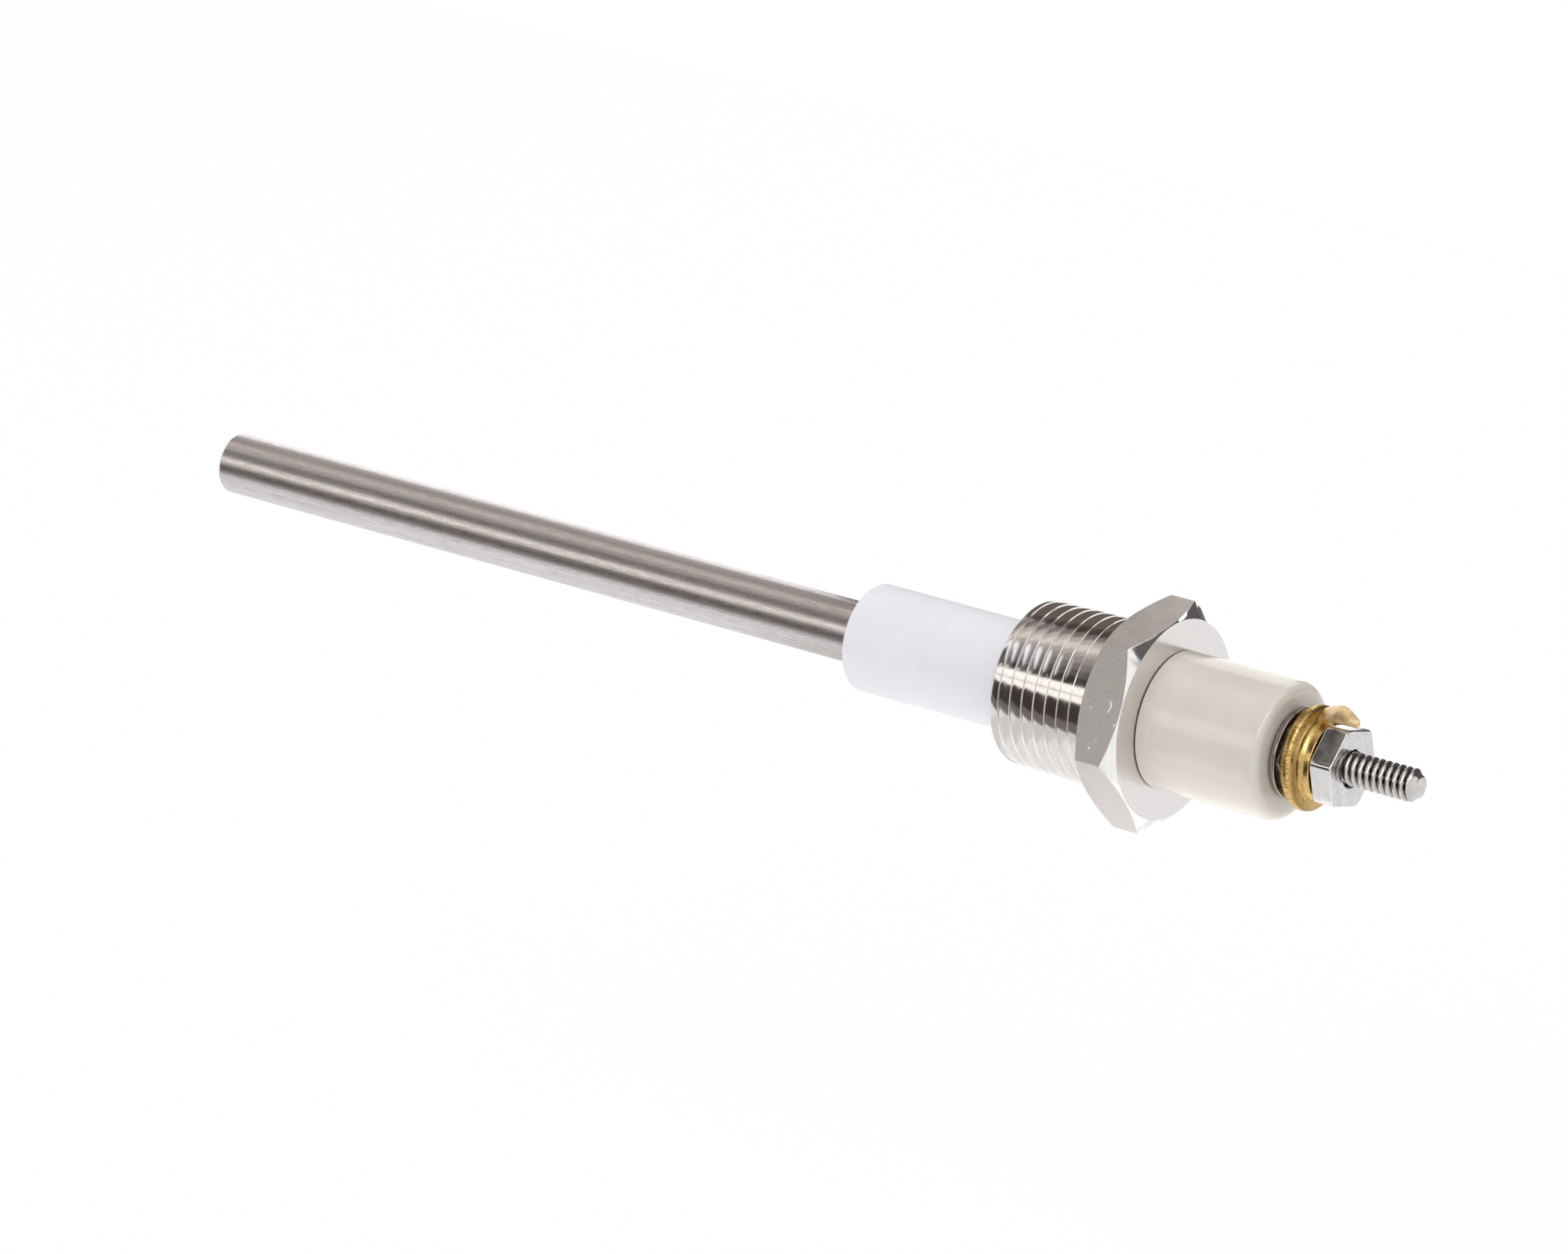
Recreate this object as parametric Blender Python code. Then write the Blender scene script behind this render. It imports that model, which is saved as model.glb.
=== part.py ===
import bpy
import bmesh
from math import cos, sin, pi, radians, sqrt

# Electrode probe on a taper pipe thread, axis along X, terminal end at +X, wrench flat up.
# Lengths below are millimetres and are turned into metres when a mesh is made.
MM = 0.001

# stainless rod, quarter inch
ROD_R = 3.175
ROD_TIP_X = -115.0
ROD_TOP_X = -9.2
ROD_EDGE = 0.35
ROD_TAP_R = 1.98
ROD_TAP_DEPTH = 9.0

# white sleeve over the rod
SLEEVE_R = 5.57
SLEEVE_TIP_X = -32.9
SLEEVE_TOP_X = -4.7
SLEEVE_BORE_R = 3.42
SLEEVE_STEP_X = -8.0
SLEEVE_NECK_R = 2.1
SLEEVE_EDGE = 0.55

# body: 3/8-18 taper pipe thread under a 13/16 inch hexagon
PIPE_PITCH = 25.4 / 18
PIPE_FACE_X = -13.25
PIPE_FACE_R = 7.55
PIPE_START_X = -12.34
PIPE_CREST_R = 8.36
PIPE_CREST_MOST = 8.545
PIPE_TAPER = 1.0 / 32
PIPE_DEPTH = 0.33
PIPE_DEPTH_LAST = 0.06
PIPE_FLANK = 0.58
PIPE_TURNS = 7
RELIEF_X = -1.4
HEX_FLATS = 20.64
HEX_BACK_X = -0.95
HEX_FRONT_X = 3.76
HEX_FACE_R = 10.25
HEX_CHAMFER = 0.95
BODY_LOW_BORE_R = 5.85
BODY_WEB_LOW_X = -3.1
BODY_WEB_TOP_X = -0.6
BODY_WEB_R = 3.15
BODY_TOP_BORE_R = 5.75

# seals inside the body
SHOULDER_WASHER = (-8.95, -8.25, 2.05, 3.1)
LOWER_RING = (-4.4, -3.4, 2.1, 5.55)
UPPER_GASKET = (-0.35, 0.35, 3.15, 5.45)

# glazed porcelain insulator
INS_R = 7.1
INS_BASE_X = 3.96
INS_END_X = 17.85
INS_EDGE = 1.0
INS_SPIGOT_R = 5.45
INS_SPIGOT_X = 0.6
INS_NOSE_R = 2.8
INS_NOSE_X = -2.8
INS_BORE_R = 2.0

# terminal stud, number 6-32
STUD_R = 1.72
STUD_ROOT_R = 1.27
STUD_PITCH = 25.4 / 32
STUD_LOW_X = -17.2
STUD_SHANK_R = 1.62
STUD_THREAD_X = 20.55
STUD_TURNS = 14
STUD_END_X = 32.7
STUD_END_R = 1.12

# stack on the stud
FLAT_WASHER = (18.02, 18.6, 2.0, 4.65)
CLAMP_NUT = (18.75, 21.2, 6.15)
NUT_BORE_R = 1.95
TERMINAL_NUT = (22.32, 24.82, 7.7)
TERMINAL_NUT_CLOCK = 5.8
TERMINAL_FACE_R = 4.16
CLAMP_FACE_R = 2.92
CUP_RIM_X = 20.2
CUP_RIM_R = 4.73
CUP_RIM_T = 0.6
CUP_TOP_X = 22.15
CUP_UNDER_X = 21.4
CUP_TOP_R = 3.9
EAR_CLOCK = 5.0
EAR_SPREAD = 29.0
EAR_ROOT_X = 22.3
EAR_REACH = 3.5
EAR_NEAR_X = 20.9
EAR_FAR_X = 20.4
EAR_NEAR_R = 4.2
EAR_NEAR_RISE = 1.12
EAR_FAR_R = 5.1
EAR_FAR_RISE = 0.7
EAR_THICK = 0.45

ROUND = 48


def ring_points(x, r, segs):
    return [(x, r * cos(2 * pi * j / segs), r * sin(2 * pi * j / segs)) for j in range(segs)]


def clock_point(x, r, deg):
    return (x, -r * sin(radians(deg)), r * cos(radians(deg)))


def material(name, colour, rough, metal):
    mat = bpy.data.materials.new(name)
    mat.use_nodes = True
    shader = mat.node_tree.nodes["Principled BSDF"]
    shader.inputs["Base Color"].default_value = (*colour, 1.0)
    shader.inputs["Roughness"].default_value = rough
    shader.inputs["Metallic"].default_value = metal
    return mat


def make_object(name, verts, faces, mat=None):
    mesh = bpy.data.meshes.new(name)
    mesh.from_pydata([(x * MM, y * MM, z * MM) for x, y, z in verts], [], faces)
    bm = bmesh.new()
    bm.from_mesh(mesh)
    bmesh.ops.recalc_face_normals(bm, faces=bm.faces)
    bmesh.ops.triangulate(bm, faces=[f for f in bm.faces if len(f.verts) > 4])
    bm.to_mesh(mesh)
    bm.free()
    obj = bpy.data.objects.new(name, mesh)
    bpy.context.scene.collection.objects.link(obj)
    if mat:
        mesh.materials.append(mat)
    return obj


def helper(obj):
    obj.hide_render = True
    obj.display_type = "WIRE"
    return obj


def combine(obj, other, operation):
    mod = obj.modifiers.new(operation.lower() + "_" + other.name, "BOOLEAN")
    mod.operation = operation
    mod.solver = "EXACT"
    mod.object = other
    return obj


# Closed ring: the profile is a loop of (x, r) points that never touches the axis.
def lathe_ring(name, profile, mat=None, segs=ROUND):
    verts = []
    faces = []
    for x, r in profile:
        verts += ring_points(x, r, segs)
    count = len(profile)
    for p in range(count):
        q = (p + 1) % count
        for j in range(segs):
            k = (j + 1) % segs
            faces.append((p * segs + j, p * segs + k, q * segs + k, q * segs + j))
    return make_object(name, verts, faces, mat)


# Solid bar: the profile is an open row of (x, r) points, capped flat at both ends.
def lathe_bar(name, profile, mat=None, segs=ROUND):
    verts = []
    faces = []
    for x, r in profile:
        verts += ring_points(x, r, segs)
    for p in range(len(profile) - 1):
        for j in range(segs):
            k = (j + 1) % segs
            faces.append((p * segs + j, p * segs + k, (p + 1) * segs + k, (p + 1) * segs + j))
    faces.append(tuple(range(segs)))
    last = (len(profile) - 1) * segs
    faces.append(tuple(range(last, last + segs)))
    return make_object(name, verts, faces, mat)


# Quarter round at the outer corner (x, r); toward is +1 where the body lies at larger x.
def edge_arc(x, r, size, steps, toward):
    out = []
    for n in range(steps + 1):
        a = 0.5 * pi * n / steps
        out.append((x + toward * size * (1 - sin(a)), r - size * (1 - cos(a))))
    return out


# Bar with one helical thread; offsets(turn) are the fractions of a pitch where the profile turns.
def threaded_bar(name, before, after, x0, pitch, turns, segs, offsets, radius, mat=None):
    verts = []
    faces = []
    for x, r in before + after:
        verts += ring_points(x, r, segs)
    base = len(verts)
    rows = segs * turns
    width = len(offsets(0.0))
    for i in range(rows + 1):
        turn = i / segs
        a = 2 * pi * turn
        for k, offset in enumerate(offsets(turn)):
            x = x0 + pitch * (turn + offset)
            r = radius(x, k, turn)
            verts.append((x, r * cos(a), r * sin(a)))

    def v(i, k):
        return base + i * width + k

    def ring(n, j):
        return n * segs + j % segs

    for group, start in ((before, 0), (after, len(before))):
        for n in range(start, start + len(group) - 1):
            for j in range(segs):
                faces.append((ring(n, j), ring(n, j + 1), ring(n + 1, j + 1), ring(n + 1, j)))
    low = len(before) - 1
    high = len(before)
    for i in range(rows):
        for k in range(width - 1):
            faces.append((v(i, k), v(i + 1, k), v(i + 1, k + 1), v(i, k + 1)))
        if i + segs < rows:
            faces.append((v(i, width - 1), v(i + 1, width - 1), v(i + 1 + segs, 0), v(i + segs, 0)))
    for j in range(segs):
        faces.append((ring(low, j), ring(low, j + 1), v(j + 1, 0), v(j, 0)))
        e = rows - segs + j
        faces.append((v(e, width - 1), v(e + 1, width - 1), ring(high, j + 1), ring(high, j)))
    faces.append((ring(low, 0), *[v(0, k) for k in range(width)], v(segs, 0)))
    faces.append((v(rows - segs, width - 1), *[v(rows, k) for k in range(width)], ring(high, 0)))
    faces.append(tuple(ring(0, j) for j in range(segs)))
    faces.append(tuple(ring(len(before) + len(after) - 1, j) for j in range(segs)))
    return make_object(name, verts, faces, mat)


def hexagon(name, low, high, flats, clock, mat=None):
    corner = flats / sqrt(3)
    verts = [clock_point(x, corner, clock + 60 * k) for x in (low, high) for k in range(6)]
    faces = [tuple(range(6)), tuple(range(6, 12))]
    faces += [(k, (k + 1) % 6, 6 + (k + 1) % 6, 6 + k) for k in range(6)]
    return make_object(name, verts, faces, mat)


# Small hexagon nut, chamfered at both faces, with a countersunk clearance bore.
def hex_nut(name, low, high, flats, face_r, clock, mat):
    corner = flats / sqrt(3)
    drop = (corner + 0.1 - face_r) * 0.5
    nut = hexagon(name, low, high, flats, clock, mat)
    turned = [(low, face_r), (low + drop, corner + 0.1), (high - drop, corner + 0.1), (high, face_r)]
    combine(nut, helper(lathe_bar(name + "_turned", turned)), "INTERSECT")
    sink = NUT_BORE_R + 0.35
    bore = [(low - 0.1, sink + 0.1), (low + 0.35, NUT_BORE_R), (high - 0.35, NUT_BORE_R), (high + 0.1, sink + 0.1)]
    combine(nut, helper(lathe_bar(name + "_bore", bore, segs=40)), "DIFFERENCE")
    return nut


def washer(name, size, mat, edge=0.0):
    low, high, inner, outer = size
    if edge:
        loop = [(low, inner), (low, outer - edge), (low + edge, outer), (high - edge, outer), (high, outer - edge), (high, inner)]
    else:
        loop = [(low, inner), (low, outer), (high, outer), (high, inner)]
    return lathe_ring(name, loop, mat)


# The groove is deepest near the start and runs out towards the hexagon.
def pipe_depth(turn):
    left = max(0.0, 1 - turn / PIPE_TURNS)
    depth = PIPE_DEPTH_LAST + (PIPE_DEPTH - PIPE_DEPTH_LAST) * left ** 0.8
    return depth * min(1.0, 0.2 + 2 * turn)


def pipe_offsets(turn):
    half = pipe_depth(turn) * PIPE_FLANK / PIPE_PITCH
    return (-half, 0.0, half, 0.6)


def pipe_radius(x, k, turn):
    crest = min(PIPE_CREST_R + (x - PIPE_FACE_X) * PIPE_TAPER, PIPE_CREST_MOST)
    return crest - (pipe_depth(turn) if k == 1 else 0.0)


def stud_offsets(turn):
    return (0.0, 0.4, 0.6, 0.98)


def stud_radius(x, k, turn):
    depth = STUD_R - STUD_ROOT_R
    return STUD_R - (depth if k in (0, 3) else 0.0)


def cup_profile():
    loop = [(CUP_UNDER_X, 2.0), (CUP_UNDER_X, 3.52), (CUP_UNDER_X - 0.45, 3.76)]
    loop += [(CUP_RIM_X + 0.1, 3.86), (CUP_RIM_X - 0.3, 4.15)]
    for deg in range(-50, 171, 20):
        a = radians(deg)
        loop.append((CUP_RIM_X - CUP_RIM_T * cos(a), CUP_RIM_R + CUP_RIM_T * sin(a)))
    loop += [(CUP_RIM_X + 0.82, 4.42), (CUP_RIM_X + 1.0, 4.28), (CUP_TOP_X - 0.3, 4.05)]
    loop += [(CUP_TOP_X, CUP_TOP_R), (CUP_TOP_X, 2.0)]
    return loop


# Radius of the ear's outside; side is 0 at its straight edge and 1 at the rounded one.
def ear_radius(x, side):
    near = EAR_NEAR_R + EAR_NEAR_RISE * sin(0.5 * pi * min(1.0, (x - EAR_NEAR_X) / 2.2))
    far = EAR_FAR_R + EAR_FAR_RISE * sin(pi * max(0.0, min(1.0, (x - EAR_FAR_X) / 4.6)))
    return near + (far - near) * side


# Tab standing up from the cup's rim: one straight edge, the other rounded off.
def ear_solid(name):
    across = 8
    along = 7
    verts = []
    for layer in (0.0, EAR_THICK):
        for j in range(across + 1):
            side = j / across
            low = EAR_NEAR_X + (EAR_FAR_X - EAR_NEAR_X) * side
            end = EAR_ROOT_X + EAR_REACH * (1 - (0.97 * side) ** 2.5)
            for i in range(along + 1):
                x = low + (end - low) * i / along
                verts.append(clock_point(x, ear_radius(x, side) - layer, EAR_CLOCK - EAR_SPREAD * side))
    faces = []
    rows = along + 1
    sheet = (across + 1) * rows

    def v(layer, j, i):
        return layer * sheet + j * rows + i

    for j in range(across):
        for i in range(along):
            for n in (0, 1):
                faces.append((v(n, j, i), v(n, j + 1, i), v(n, j + 1, i + 1), v(n, j, i + 1)))
        for i in (0, along):
            faces.append((v(0, j, i), v(0, j + 1, i), v(1, j + 1, i), v(1, j, i)))
    for i in range(along):
        for j in (0, across):
            faces.append((v(0, j, i), v(0, j, i + 1), v(1, j, i + 1), v(1, j, i)))
    return make_object(name, verts, faces)


for old in list(bpy.data.objects):
    bpy.data.objects.remove(old, do_unlink=True)

steel_rod = material("rod_steel", (0.42, 0.40, 0.38), 0.32, 1.0)
steel_body = material("body_steel", (0.62, 0.60, 0.58), 0.2, 1.0)
steel_nut = material("nut_steel", (0.66, 0.66, 0.67), 0.16, 1.0)
steel_clamp = material("clamp_steel", (0.6, 0.6, 0.6), 0.25, 1.0)
steel_washer = material("washer_steel", (0.55, 0.53, 0.5), 0.22, 1.0)
steel_stud = material("stud_steel", (0.6, 0.58, 0.56), 0.2, 1.0)
white_sleeve = material("sleeve_white", (0.86, 0.87, 0.9), 0.55, 0.0)
porcelain = material("porcelain_cream", (0.68, 0.64, 0.57), 0.12, 0.0)
brass = material("cup_brass", (0.75, 0.52, 0.18), 0.24, 1.0)
packing = material("ring_packing", (0.8, 0.8, 0.78), 0.6, 0.0)
gasket = material("gasket_fibre", (0.22, 0.15, 0.1), 0.8, 0.0)
thrust = material("thrust_white", (0.82, 0.82, 0.8), 0.6, 0.0)

# rod with a tapped top end
tip = [(ROD_TIP_X, ROD_R - ROD_EDGE), (ROD_TIP_X + ROD_EDGE, ROD_R)]
rod = lathe_bar("probe_rod", tip + [(ROD_TOP_X - 0.3, ROD_R), (ROD_TOP_X, ROD_R - 0.3)], steel_rod, 48)
tap = [(ROD_TOP_X - ROD_TAP_DEPTH, ROD_TAP_R), (ROD_TOP_X + 0.5, ROD_TAP_R)]
combine(rod, helper(lathe_bar("rod_tap", tap, segs=40)), "DIFFERENCE")

# sleeve: plain outside, stepped bore that the rod's shoulder pulls against
sleeve_loop = [(SLEEVE_TIP_X, SLEEVE_BORE_R)]
sleeve_loop += sorted(edge_arc(SLEEVE_TIP_X, SLEEVE_R, SLEEVE_EDGE, 4, 1))
sleeve_loop += [(SLEEVE_TOP_X, SLEEVE_R), (SLEEVE_TOP_X, SLEEVE_NECK_R)]
sleeve_loop += [(SLEEVE_STEP_X, SLEEVE_NECK_R), (SLEEVE_STEP_X, SLEEVE_BORE_R)]
lathe_ring("insulating_sleeve", sleeve_loop, white_sleeve)

washer("shoulder_washer", SHOULDER_WASHER, thrust)
washer("lower_seal_ring", LOWER_RING, packing)
washer("upper_gasket", UPPER_GASKET, gasket)

# threaded body
start = [(PIPE_FACE_X, PIPE_FACE_R), (PIPE_FACE_X + 0.65, PIPE_CREST_R)]
relief = [(RELIEF_X, PIPE_CREST_MOST), (1.0, PIPE_CREST_MOST)]
body = threaded_bar("threaded_body", start, relief, PIPE_START_X, PIPE_PITCH, PIPE_TURNS, 36,
                    pipe_offsets, pipe_radius, steel_body)
head = helper(hexagon("body_head", HEX_BACK_X, HEX_FRONT_X, HEX_FLATS, 30))
hex_corner = HEX_FLATS / sqrt(3)
past = 0.2
past_r = HEX_FACE_R - past * (hex_corner + 0.05 - HEX_FACE_R) / HEX_CHAMFER
head_turned = [(HEX_BACK_X - past, past_r), (HEX_BACK_X + HEX_CHAMFER, hex_corner + 0.05)]
head_turned += [(HEX_FRONT_X - HEX_CHAMFER, hex_corner + 0.05), (HEX_FRONT_X + past, past_r)]
combine(head, helper(lathe_bar("body_head_turned", head_turned, segs=72)), "INTERSECT")
combine(body, head, "UNION")
bore_loop = [(PIPE_FACE_X - 1, BODY_LOW_BORE_R), (BODY_WEB_LOW_X, BODY_LOW_BORE_R)]
bore_loop += [(BODY_WEB_LOW_X, BODY_WEB_R), (BODY_WEB_TOP_X, BODY_WEB_R)]
bore_loop += [(BODY_WEB_TOP_X, BODY_TOP_BORE_R), (HEX_FRONT_X + 1, BODY_TOP_BORE_R)]
combine(body, helper(lathe_bar("body_bore", bore_loop, segs=48)), "DIFFERENCE")

# insulator: nose through the web, spigot in the body, barrel outside
ins_loop = [(INS_NOSE_X, INS_BORE_R), (INS_NOSE_X, INS_NOSE_R), (INS_SPIGOT_X, INS_NOSE_R)]
ins_loop += [(INS_SPIGOT_X, INS_SPIGOT_R), (INS_BASE_X, INS_SPIGOT_R), (INS_BASE_X, INS_R - 0.12)]
ins_loop += [(INS_BASE_X + 0.12, INS_R)] + sorted(edge_arc(INS_END_X, INS_R, INS_EDGE, 6, -1))
ins_loop += [(INS_END_X, INS_BORE_R)]
lathe_ring("porcelain_insulator", ins_loop, porcelain)

# stud from the rod's tapped end to the terminal
shank = [(STUD_LOW_X, STUD_SHANK_R - 0.3), (STUD_LOW_X + 0.3, STUD_SHANK_R), (STUD_THREAD_X - 0.4, STUD_SHANK_R)]
shank += [(STUD_THREAD_X - 0.05, STUD_ROOT_R)]
nose_x = STUD_THREAD_X + STUD_PITCH * (STUD_TURNS + 1) + 0.05
nose = [(nose_x, STUD_ROOT_R), (STUD_END_X, STUD_END_R)]
threaded_bar("terminal_stud", shank, nose, STUD_THREAD_X, STUD_PITCH, STUD_TURNS, 20,
             stud_offsets, stud_radius, steel_stud)

# clamping and terminal hardware
washer("flat_washer", FLAT_WASHER, steel_washer, 0.1)
hex_nut("clamp_nut", *CLAMP_NUT, CLAMP_FACE_R, 20, steel_clamp)
cup = lathe_ring("cup_washer", cup_profile(), brass)
combine(cup, helper(ear_solid("cup_ear")), "UNION")
hex_nut("terminal_nut", *TERMINAL_NUT, TERMINAL_FACE_R, TERMINAL_NUT_CLOCK, steel_nut)
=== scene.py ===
from math import sin, cos, pi, radians, sqrt, tan, copysign

import bpy
import bmesh
from mathutils import Matrix, Vector, noise


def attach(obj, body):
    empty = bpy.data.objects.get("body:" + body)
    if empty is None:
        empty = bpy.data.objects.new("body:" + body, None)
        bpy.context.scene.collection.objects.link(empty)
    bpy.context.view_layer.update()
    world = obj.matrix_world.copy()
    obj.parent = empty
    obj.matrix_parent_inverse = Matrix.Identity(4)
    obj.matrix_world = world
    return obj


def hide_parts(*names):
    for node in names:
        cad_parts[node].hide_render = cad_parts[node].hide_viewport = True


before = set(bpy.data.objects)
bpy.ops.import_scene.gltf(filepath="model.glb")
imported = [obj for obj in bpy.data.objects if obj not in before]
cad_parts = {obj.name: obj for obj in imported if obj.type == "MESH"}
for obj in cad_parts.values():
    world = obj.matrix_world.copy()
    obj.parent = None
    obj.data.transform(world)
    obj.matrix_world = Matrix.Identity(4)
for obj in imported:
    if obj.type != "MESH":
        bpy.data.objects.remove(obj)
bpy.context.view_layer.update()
mm = 0.001  # lengths below are millimetres, the axis lies along X and the wrench flat is up
print("frame loaded,", len(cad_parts), "nodes")


# places on the part: clock is degrees round the axis, 0 is up, positive toward the camera's side

def clockPoint(x, r, clock):
    return (x, -r * sin(radians(clock)), r * cos(radians(clock)))


def evenClock(count, start=0.0):
    return [start + 360 * j / count for j in range(count)]


def hexClock(firstCorner, steps=20, nib=0.5):
    clocks = []
    for side in range(6):
        corner = firstCorner + 60 * side
        clocks += [corner, corner + nib]  # the nib keeps a narrow rounded edge at each corner
        clocks += [corner + 60 * n / steps for n in range(1, steps)]
        clocks.append(corner + 60 - nib)
    return clocks


def hexRadius(clock, flats, firstCorner, nibDrop):
    off = (clock - firstCorner) % 60
    r = flats / 2 / cos(radians(off - 30))
    return r - nibDrop if min(off, 60 - off) < 0.01 else r


# rounds the corners of a profile of (x, r, edge) rows, with a holding point on each side
def softProfile(corners, steps=4, closed=True):
    out = []
    last = len(corners) - 1
    for i, (x, r, edge) in enumerate(corners):
        if not edge or (not closed and i in (0, last)):
            out.append((x, r))
            continue
        here = Vector((x, r))
        back = Vector(corners[i - 1][:2]) - here
        ahead = Vector(corners[(i + 1) % len(corners)][:2]) - here
        p, q = here + back.normalized() * edge, here + ahead.normalized() * edge
        for s in range(steps + 1):
            t = s / steps
            out.append(tuple(p * (1 - t) ** 2 + here * 2 * t * (1 - t) + q * t * t))
    return out


# faces between rings of equal count; a ring is one (x, r) or a list of them, one for each clock
def ringStack(rings, clocks, closed=True):
    count = len(clocks)
    verts, faces, marks = [], [], []
    for ring in rings:
        rows = ring if isinstance(ring, list) else [ring] * count
        verts += [clockPoint(x, r, clock) for (x, r), clock in zip(rows, clocks)]
    for p in range(len(rings) if closed else len(rings) - 1):
        q = (p + 1) % len(rings)
        for j in range(count):
            k = (j + 1) % count
            faces.append((p * count + j, p * count + k, q * count + k, q * count + j))
            marks.append(p)
    if not closed:
        faces += [tuple(range(count)), tuple(range(len(rings) * count - count, len(rings) * count))]
        marks += [0, len(rings) - 2]
    return verts, faces, marks


# rings with one right-hand helix between them; cut(turn) gives the (dx, r) row across one pitch
def helixStack(before, after, clocks, startX, pitch, turns, cut, closed):
    count = len(clocks)
    verts, faces, marks = ringStack(before + after, clocks, closed=False)
    faces, marks = faces[:-2], marks[:-2]
    low, high, total = len(before) - 1, len(before), len(before) + len(after)
    keep = [n for n, mark in enumerate(marks) if mark != low]
    faces, marks = [faces[n] for n in keep], [marks[n] for n in keep]
    base, rows = len(verts), count * turns
    for i in range(rows + 1):
        turn = i // count + (clocks[i % count] - clocks[0]) / 360
        row = cut(turn)
        for dx, r in row:
            verts.append(clockPoint(startX + pitch * turn + dx, r, clocks[i % count]))
    width = len(row)

    def v(i, k):
        return base + i * width + k

    def ring(n, j):
        return n * count + j % count

    made = []
    for i in range(rows):
        for k in range(width - 1):
            made.append((v(i, k), v(i + 1, k), v(i + 1, k + 1), v(i, k + 1)))
        if i + count < rows:
            made.append((v(i, width - 1), v(i + 1, width - 1), v(i + 1 + count, 0), v(i + count, 0)))
    for j in range(count):
        end = rows - count + j
        made.append((ring(low, j), ring(low, j + 1), v(j + 1, 0), v(j, 0)))
        made.append((v(end, width - 1), v(end + 1, width - 1), ring(high, j + 1), ring(high, j)))
    made.append((ring(low, 0), *[v(0, k) for k in range(width)], v(count, 0)))
    made.append((v(rows - count, width - 1), *[v(rows, k) for k in range(width)], ring(high, 0)))
    if closed:
        for j in range(count):
            made.append((ring(total - 1, j), ring(total - 1, j + 1), ring(0, j + 1), ring(0, j)))
    else:
        made += [tuple(ring(0, j) for j in range(count)), tuple(ring(total - 1, j) for j in range(count))]
    return verts, faces + made, marks + [low] * len(made)


# makes the object, smooth except along edges sharper than the given angle
def makePiece(name, shape, finishes, body, nodes, pick=None, sharp=32.0):
    verts, faces, marks = shape
    mesh = bpy.data.meshes.new(name)
    mesh.from_pydata([(x * mm, y * mm, z * mm) for x, y, z in verts], [], faces)
    for finish in finishes:
        mesh.materials.append(finish)
    for poly, mark in zip(mesh.polygons, marks):
        poly.use_smooth = True
        if pick:
            poly.material_index = pick(mark)
    bm = bmesh.new()
    bm.from_mesh(mesh)
    bmesh.ops.recalc_face_normals(bm, faces=bm.faces)
    for edge in bm.edges:
        edge.smooth = len(edge.link_faces) == 2 and edge.calc_face_angle(0.0) < radians(sharp)
    bm.to_mesh(mesh)
    bm.free()
    piece = bpy.data.objects.new(name, mesh)
    bpy.context.scene.collection.objects.link(piece)
    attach(piece, body)
    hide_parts(*nodes)
    return piece


def weighNormals(piece):
    weigh = piece.modifiers.new("faceNormals", "WEIGHTED_NORMAL")
    weigh.keep_sharp = True
    weigh.weight = 60
    return piece


# small node tools for the finishes; scales are features per millimetre on the part

def startFinish(name, metal, **sockets):
    mat = bpy.data.materials.new(name)
    mat.use_nodes = True
    shader = mat.node_tree.nodes["Principled BSDF"]
    shader.inputs["Metallic"].default_value = metal
    for key, value in sockets.items():
        shader.inputs[key].default_value = value
    return mat


def addNode(mat, kind, **values):
    node = mat.node_tree.nodes.new(kind)
    for key, value in values.items():
        if key in node.inputs:
            node.inputs[key].default_value = value
        else:
            setattr(node, key, value)
    return node


def wire(mat, out, into):
    mat.node_tree.links.new(out, into)


def shaderOf(mat):
    return mat.node_tree.nodes["Principled BSDF"]


def spotOn(mat):
    return addNode(mat, "ShaderNodeTexCoord").outputs["Object"]


def grain(mat, perMm, detail=2.0, rough=0.5, kind="ShaderNodeTexNoise", seed=0.0):
    mapping = addNode(mat, "ShaderNodeMapping")
    mapping.inputs["Scale"].default_value = [1000 * s for s in perMm]
    mapping.inputs["Location"].default_value = (seed, seed * 1.7, seed * 2.3)
    wire(mat, spotOn(mat), mapping.inputs["Vector"])
    tex = addNode(mat, kind, Scale=1.0)
    wire(mat, mapping.outputs["Vector"], tex.inputs["Vector"])
    if kind == "ShaderNodeTexVoronoi":
        return tex.outputs["Distance"]
    tex.inputs["Detail"].default_value = detail
    tex.inputs["Roughness"].default_value = rough
    return tex.outputs["Fac"]


def axisDistance(mat, spot):
    across = addNode(mat, "ShaderNodeVectorMath", operation="MULTIPLY")
    across.inputs[1].default_value = (0.0, 1.0, 1.0)
    far = addNode(mat, "ShaderNodeVectorMath", operation="LENGTH")
    wire(mat, spot, across.inputs[0])
    wire(mat, across.outputs["Vector"], far.inputs[0])
    return far.outputs["Value"]


# noise that changes with the distance from the axis only, like the marks of a facing cut
def facingGrain(mat, perMm, detail=3.0):
    tex = addNode(mat, "ShaderNodeTexNoise", noise_dimensions="1D", Scale=1000 * perMm, Detail=detail)
    wire(mat, axisDistance(mat, spotOn(mat)), tex.inputs["W"])
    return tex.outputs["Fac"]


def spread(mat, fac, fromLow, fromHigh, low, high):
    node = addNode(mat, "ShaderNodeMapRange")
    for key, value in zip(("From Min", "From Max", "To Min", "To Max"), (fromLow, fromHigh, low, high)):
        node.inputs[key].default_value = value
    wire(mat, fac, node.inputs["Value"])
    return node.outputs["Result"]


def tint(mat, fac, stops):
    node = addNode(mat, "ShaderNodeValToRGB")
    marks = node.color_ramp.elements
    while len(marks) < len(stops):
        marks.new(0.5)
    for mark, (position, colour) in zip(marks, stops):
        mark.position = position
        mark.color = (*colour, 1.0)
    wire(mat, fac, node.inputs["Fac"])
    return node.outputs["Color"]


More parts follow.
